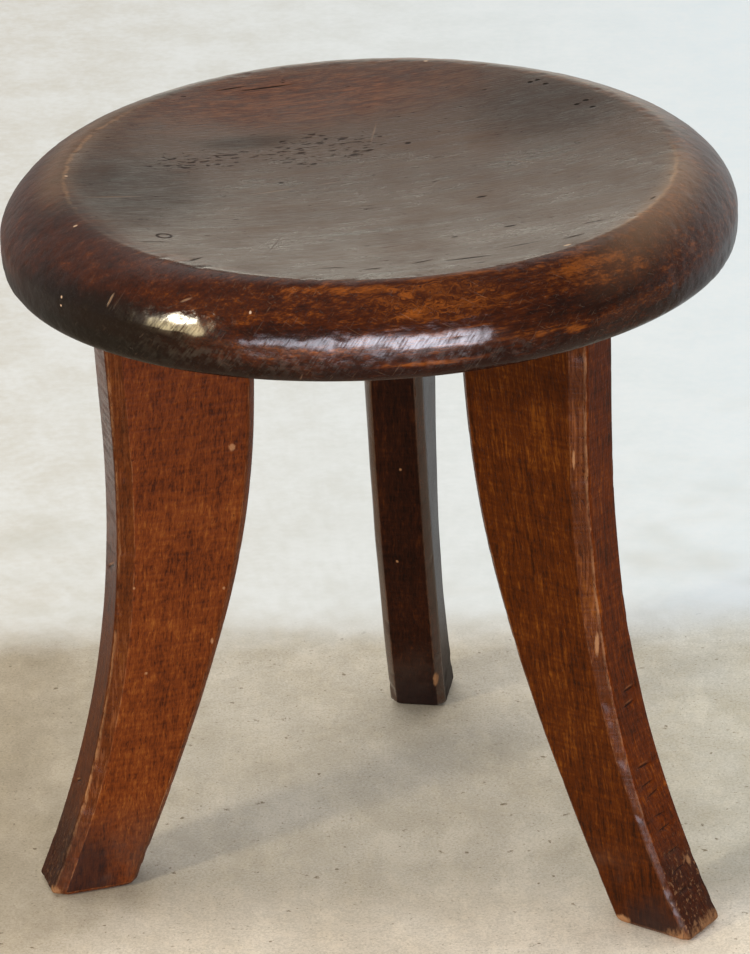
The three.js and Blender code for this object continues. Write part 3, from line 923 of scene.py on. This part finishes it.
# %% Grain of a leg
def leg_grain(wood, place, long, clouds):
    """Grain that wanders down the leg: its tone, its relief, its open pores and the ripples across it."""
    wander = wood.noise(place, (6, 6, 18)) * 5
    push = wood.node("CombineXYZ", None, {0: wander, 1: wander, 2: 0.0})
    leaned = wood.vector("ADD", wood.turned(place, 8, "Y"), push)
    fibres = wood.noise(leaned, (0.9, 0.9, long), detail=3, rough=0.65)
    dashes = wood.noise(leaned, (1.7, 1.7, long), detail=3, rough=0.65)
    streaks = wood.noise(leaned, (3.5, 3.5, 110), detail=4, rough=0.6)
    ripples = wood.noise(place, (14, 14, 1.9), detail=2, rough=0.5)
    pores = wood.smooth(wood.noise(leaned, (0.45, 0.45, 4.5), detail=1, rough=0.4), 0.64, 0.72)
    tone = fibres * 0.50 + dashes * 0.46 + streaks * 0.3 + clouds * 0.4 + ripples * 0.22 - 0.445
    return tone, fibres * 0.6 + dashes * 0.5 - pores * 0.7, pores, ripples

print("leg_grain() is ready")

# %% Planed corners of a leg
def leg_corners(wood, leg, place, face_y, clouds, ragged):
    """The planed corners, the bare lines along their edges, the marks of the plane and the ridge in their middle."""
    _, y, z = wood.split(place)
    side, half = abs(face_y), abs(y)
    share = wood.smooth(z, *NARROW_HEIGHTS) * leg["narrows"] + (1 - leg["narrows"])
    past = half - (LEG_THICKNESS / 2 - share * OUTER_ARRIS[1])
    planed = wood.smooth(past, -0.6, 0.4) * wood.below(side, 0.93, 0.985)
    lines = wood.below(abs(past + (ragged - 0.5) * 1.6), 0.1, 0.7)
    lines = lines.highest(wood.smooth(half + ragged * 0.6, 16.2, 16.6) * wood.below(side, 0.94, 0.985))
    lines = lines * wood.smooth(ragged + clouds * 0.6, 0.66, 0.95)
    marks = wood.smooth(wood.noise(place, (1.2, 1.2, 40), detail=2, rough=0.5), 0.52, 0.60) * planed
    marks = marks * wood.smooth(ragged * 0.5 + clouds * 0.5, 0.42, 0.58)
    ridge = wood.below(abs(past - share * OUTER_ARRIS[1] / 2), 0.1, 1.1)
    return planed, lines, marks, ridge

print("leg_corners() is ready")

# %% Dirt and scars of a foot
CRUST, STAIN, SMEAR = (0.016, 0.006, 0.004), (0.014, 0.009, 0.008), (0.045, 0.030, 0.022)

def leg_foot(wood, colour, masks, foot, dirt, scarred, specks):
    """The colour under dust, dark stains, and on the outer face crusted dirt with the wood showing in specks."""
    planed, clouds, crust = masks
    colour = wood.mix(foot * wood.smooth(clouds, 0.38, 0.62) * 0.6, colour, SMEAR)
    colour = wood.mix(dirt * (1 - planed) * 0.7, colour, STAIN)
    colour = wood.mix(scarred * 0.6, colour, CRUST)
    return wood.mix(scarred * wood.smooth(crust, 0.56, 0.66) * specks, colour, RAW_TAN)

print("leg_foot() is ready")

# %% Leg finish
# The first of these colours is painted shade: it darkens the tops of the legs, under the seat.
UNDER_SEAT_SHADE, CORNER_WOOD, NICK_DARK = (0.80, 0.76, 0.70), (0.27, 0.095, 0.035), (0.006, 0.003, 0.002)

def leg_finish(name, leg, looks, seed):
    """The whole finish of one leg: grain, planed corners, nicks, foot, flecks, relief and gloss."""
    wood = Finish("leg_wood_" + name, shift=(seed * 3.7, seed * 1.9, seed * 2.3))
    place = own_place(wood, leg["bearing"], leg["aside"])
    face_x, face_y, _ = wood.split(own_direction(wood, leg["bearing"]))
    z = wood.split(place)[2]
    clouds = wood.noise(place, 40, detail=5, rough=0.65)
    ragged = wood.noise(place, (3, 3, 11), detail=5, rough=0.7)
    crust = wood.noise(place, (2.6, 2.6, 3.4))
    tone, height, pores, ripples = leg_grain(wood, place, looks["grain"], clouds)
    planed, lines, marks, ridge = leg_corners(wood, leg, place, face_y, clouds, ragged)
    outer = wood.smooth(face_x, looks["tint_from"], looks["tint_from"] + 0.3)
    low = wood.below(z, 20, 150)
    bare = low * looks["bare_below"] + looks["bare"]
    lips = wood.below(wood.strokes(place, nick_lines(name, leg, lift=1.5)), 0.4, 1.0)
    nicks = wood.below(wood.strokes(place, nick_lines(name, leg)), 0.5, 1.0)
    foot = wood.below(z, 8, 60)
    dirt = wood.below(wood.spots(own_place(wood), LEG_DIRT[name]) + ragged * 0.5, 0.7, 1.35)
    scarred = wood.smooth(face_x, 0.4, 0.7) * wood.below(z + clouds * 30, 45, 75)
    flecks = wood.below(wood.spots(own_place(wood), LEG_FLECKS[name]) + (ragged - 0.5) * 1.6, 0.5, 1.1)

    dark, body, bright = looks["woods"]
    colour = wood.mix(wood.smooth(tone, 0.28, 0.55), dark, body)
    colour = wood.mix(wood.smooth(tone, 0.50, 0.78), colour, bright)
    # Painted shade: each leg is darker towards its top, where the seat shades it.
    colour = wood.tinted(colour, UNDER_SEAT_SHADE, wood.smooth(z, 180, 330))
    # Painted light and shade: the outer face is tinted by which way it faces the light, darker on the left leg and
    # lighter on the right.
    colour = wood.tinted(colour, looks["outer_face_shading"], outer)
    colour = wood.mix(planed * 0.06 + marks * bare * 0.4, colour, CORNER_WOOD)
    colour = wood.mix(lines * bare * 0.85, colour, RAW_TAN)
    colour = wood.mix(lips * 0.3, colour, RAW_TAN)
    colour = wood.mix(nicks * 0.75, colour, NICK_DARK)
    colour = leg_foot(wood, colour, (planed, clouds, crust), foot, dirt, scarred, looks["specks"])
    colour = wood.mix(pores * 0.6, colour, dark)
    colour = wood.mix(flecks * 0.6, colour, RAW_TAN)

    height = height + ragged * 0.3 + ripples * 0.7 - lines * 0.3 + scarred * crust * 3 - nicks
    bump = wood.node("Bump", None, {"Strength": 0.5, "Distance": 0.0004, "Height": height})
    dry = wood.smooth(ripples + ragged * 0.5, 0.5, 0.9) * wood.smooth(z, 130, 260)
    gloss = planed * (ridge * low * looks["ridge_gloss"] + looks["corner_gloss"]) * (1 - flecks)
    gloss = gloss + outer * (1 - planed) * looks["outer_gloss"] * dry
    wood.set(Base_Color=colour, Roughness=0.30 + clouds * 0.1 + foot * 0.15 + flecks * 0.2 - planed * 0.12)
    wood.set(Coat_Weight=gloss, Coat_Roughness=0.15, Coat_IOR=1.5, Specular_IOR_Level=0.06, Normal=bump)
    return wood

for seed, (name, board) in enumerate(boards.items()):
    leg_finish(name, LEGS[name], LEG_LOOKS[name], seed).dress(board)
print("leg finishes made")

# %% [markdown]
# ## The hidden wedges
# The wedges are bare split wood. They never show, but they are part of the stool, so they get their own
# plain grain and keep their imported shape.

# %% Wedge finish
wood = Finish("wedge_wood")
grain = wood.noise(own_place(wood), (0.8, 0.8, 20), detail=4, rough=0.6)
wood.set(Base_Color=wood.mix(wood.smooth(grain, 0.35, 0.7), (0.38, 0.20, 0.08), (0.56, 0.36, 0.18)))
wood.set(Roughness=0.65 + grain * 0.15)
wood.set(Normal=wood.node("Bump", None, {"Strength": 0.4, "Distance": 0.0003, "Height": grain}))
for node_name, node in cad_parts.items():
    if node_name.startswith("wedge_"):
        wood.dress(node)
print("wedges finished")

# %% [markdown]
# ## Floor, sky and lamps
# The stool stands on a plain pale floor that turns almost white behind it, as where a wall begins. Its patches
# are paler in front and at the right, which is painted light, and darker and warmer at the left and close to the
# low lamp in front, which is painted shade.

# %% Colours of the floor, each from its darker to its paler patches
# The colours in front and at the right are painted light, and the ones at the left and by the lamp in front are
# painted shade.
NEAR = ((0.42, 0.37, 0.29), (0.56, 0.51, 0.435))
LIT_AT_RIGHT = ((0.46, 0.43, 0.345), (0.65, 0.64, 0.58))
LIT_IN_FRONT = ((0.78, 0.68, 0.55), (0.92, 0.83, 0.71))
SHADED_AT_LEFT = ((0.28, 0.228, 0.155), (0.41, 0.335, 0.24))
SHADED_BY_THE_LAMP = (0.34, 0.32, 0.28)
BEHIND = ((0.53, 0.505, 0.455), (0.62, 0.69, 0.74))
BEHIND_PATCH, SEAM_DARK = (0.69, 0.71, 0.725), (0.40, 0.39, 0.33)
RUBBED, GRAINY, ALL_OVER = (1.18, 1.17, 1.15), (0.78, 0.77, 0.74), (0.91, 0.92, 0.93)
SPECK, DOT = (0.50, 0.45, 0.38), (0.42, 0.37, 0.30)
print("floor colours set")

# %% Floor close by
ground = Finish("floor")
place = own_place(ground)
x, y, z = ground.split(place)
mottle = ground.noise(place, 55, detail=5, rough=0.65)
grit = ground.noise(place, 7)
patchy = ground.smooth(mottle * 0.6 + grit * 0.4, 0.3, 0.7)
left = ground.below(x + mottle * 60, -190, -60)
right = ground.smooth(x + mottle * 60, 90, 260)
front = ground.below(y, -140, -40) * ground.smooth(y, -420, -240)
# Painted light in front and at the right; painted shade at the left and close to the lamp in front.
near = ground.mix(right * 0.7, ground.mix(patchy, *NEAR), ground.mix(patchy, *LIT_AT_RIGHT))
near = ground.mix(front * 0.9, near, ground.mix(patchy, *LIT_IN_FRONT))
near = ground.mix(ground.below(y, -480, -240), near, SHADED_BY_THE_LAMP)
near = ground.mix(left * 0.8, near, ground.mix(patchy, *SHADED_AT_LEFT))
print("four parts of the near floor")

# %% Grit, specks and the paler floor behind
specks = ground.smooth(ground.noise(place, 2.6, detail=3, rough=0.7), 0.60, 0.72)
dots = ground.smooth(ground.noise(place, 8), 0.66, 0.71)
fine = ground.noise(place, 1.5, detail=3, rough=0.75)
rubbed = ground.noise(place, (26, 60, 20), detail=6, rough=0.75)
near = ground.tinted(near, RUBBED, ground.smooth(rubbed, 0.45, 0.60) * 0.55)
near = ground.tinted(near, GRAINY, ground.smooth(fine * 0.6 + grit * 0.4, 0.42, 0.60))
near = ground.tinted(near, SPECK, specks * 0.9)
near = ground.tinted(near, DOT, dots * ground.smooth(mottle, 0.42, 0.55))
near = ground.tinted(near, ALL_OVER)
wall = ground.smooth(y + mottle * 40 - 20, 215, 300)
far = ground.mix(ground.smooth(x + mottle * 200, -300, 500), *BEHIND)
far = ground.mix(patchy * 0.6, far, BEHIND_PATCH)
# Darker patches along the seam where the pale floor behind begins.
seam_patches = ground.smooth(ground.noise(place, (130, 110, 60)), 0.48, 0.75)
seam = wall * ground.below(y, 330, 900)
far = ground.mix(seam_patches * seam * 0.35, far, SEAM_DARK)
ground.set(Base_Color=ground.mix(wall, near, far), Roughness=0.8, Specular_IOR_Level=0.2)
print("floor finish has", len(ground.tree.nodes), "nodes")

# %% Floor
FLOOR_REACH = 9
turns = np.linspace(0, 2 * math.pi, 96, endpoint=False)
floor_mesh = bpy.data.meshes.new("floor")
floor_edge = [(FLOOR_REACH * math.cos(a), FLOOR_REACH * math.sin(a), 0) for a in turns]
floor_mesh.from_pydata(floor_edge, [], [tuple(range(len(turns)))])
floor = bpy.data.objects.new("floor", floor_mesh)
scene.collection.objects.link(floor)
ground.dress(floor)
print("floor made,", 2 * FLOOR_REACH, "metres across")

# %% [markdown]
# ### The surroundings
# Most of the light comes from above. The surroundings are bright low down behind the stool and dim in front, as
# in a room: the polish mirrors them, which makes the hollow look grey and the rim dark. The camera itself sees
# a plain pale colour there.

# %% Sky
GLOW_TINTS = ((1.0, 0.99, 0.96), (1.0, 0.98, 0.85))
SEEN_BEHIND = (0.76, 0.78, 0.77)
world = bpy.data.worlds.new("surroundings")
scene.world = world
world.use_nodes = True
sky = Masks(world.node_tree)
sky.tree.nodes.clear()
x, y, z = sky.split(sky.node("TexCoord", output="Generated"))
at_back = sky.smooth(y, 0.1, 0.7)
wall = at_back * sky.below(z, 0.38, 0.50)
straight_behind = sky.below(abs(x), 0.12, 0.32)
glow = wall * straight_behind * sky.below(z, 0.18, 0.36)
ceiling = sky.smooth(y, -0.1, 0.4) * sky.smooth(z, 0.58, 0.75)
upper = sky.smooth(z, 0.3, 0.7) * 0.28
level = 0.32 + upper - at_back * 0.12 + wall * 0.70 + wall * (1 - straight_behind) * 0.35 + glow * 1.8 + ceiling * 2.5
tone = sky.mix(wall * straight_behind, *GLOW_TINTS)
light = sky.node("Background", None, {"Color": tone, "Strength": level})
plain = sky.node("Background", None, {"Color": SEEN_BEHIND, "Strength": 1.0})
by_camera = sky.node("LightPath", output="Is Camera Ray")
sky.node("OutputWorld", None, {"Surface": sky.node("MixShader", None, {0: by_camera, 1: light, 2: plain})})
print("sky has", len(sky.tree.nodes), "nodes")

# %% [markdown]
# ### The lamps
# Three soft lamps draw what the polish shows. A low warm window at the left makes the cream spot on the rim. A
# smaller and higher one next to it throws the shadows of the legs to the right. A low cool window in front draws
# the bright line along the rim.

# %% Lamps
def lamp(name, place, aim, size, watts, colour):
    """A soft rectangular lamp at a place, aimed at a point; size is its width and height in metres."""
    light = bpy.data.lights.new(name, "AREA")
    light.shape = "RECTANGLE"
    light.size, light.size_y = size
    light.energy, light.color = watts, colour
    made = bpy.data.objects.new(name, light)
    made.location = place
    made.rotation_mode = "QUATERNION"
    made.rotation_quaternion = (Vector(aim) - Vector(place)).to_track_quat("-Z", "Y")
    scene.collection.objects.link(made)

lamp("window_left", (-1.92, -1.42, 0.62), aim=(-0.1, -0.1, 0.3), size=(0.72, 0.85), watts=15, colour=(1, 0.81, 0.45))
lamp("sun_left", (-1.78, -1.30, 1.02), aim=(-0.1, -0.1, 0.1), size=(0.2, 0.2), watts=22, colour=(1, 0.90, 0.70))
lamp("window_front", (0.04, -1.15, 0.20), aim=(0, 0, 0.30), size=(1.5, 0.32), watts=14, colour=(0.86, 0.87, 1))
scene.view_settings.view_transform = "Standard"
print("lamps lit")

# %% [markdown]
# ## Putting the pieces in place
# The stool doesn't move, so every piece rides on its one body. Each detailed piece takes the place of the plain
# solid named in its row, and that solid is hidden.

# %% Ride, and hide the plain solids
STANDS_FOR = {"seat": (seat, "seat_wood")}
STANDS_FOR.update({"leg_" + name: (board, "leg_wood") for name, board in boards.items()})
for node_name, (piece, slot) in STANDS_FOR.items():
    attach(piece, "root")
    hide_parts(node_name)
print("pieces:", [piece.name for piece, _ in STANDS_FOR.values()])
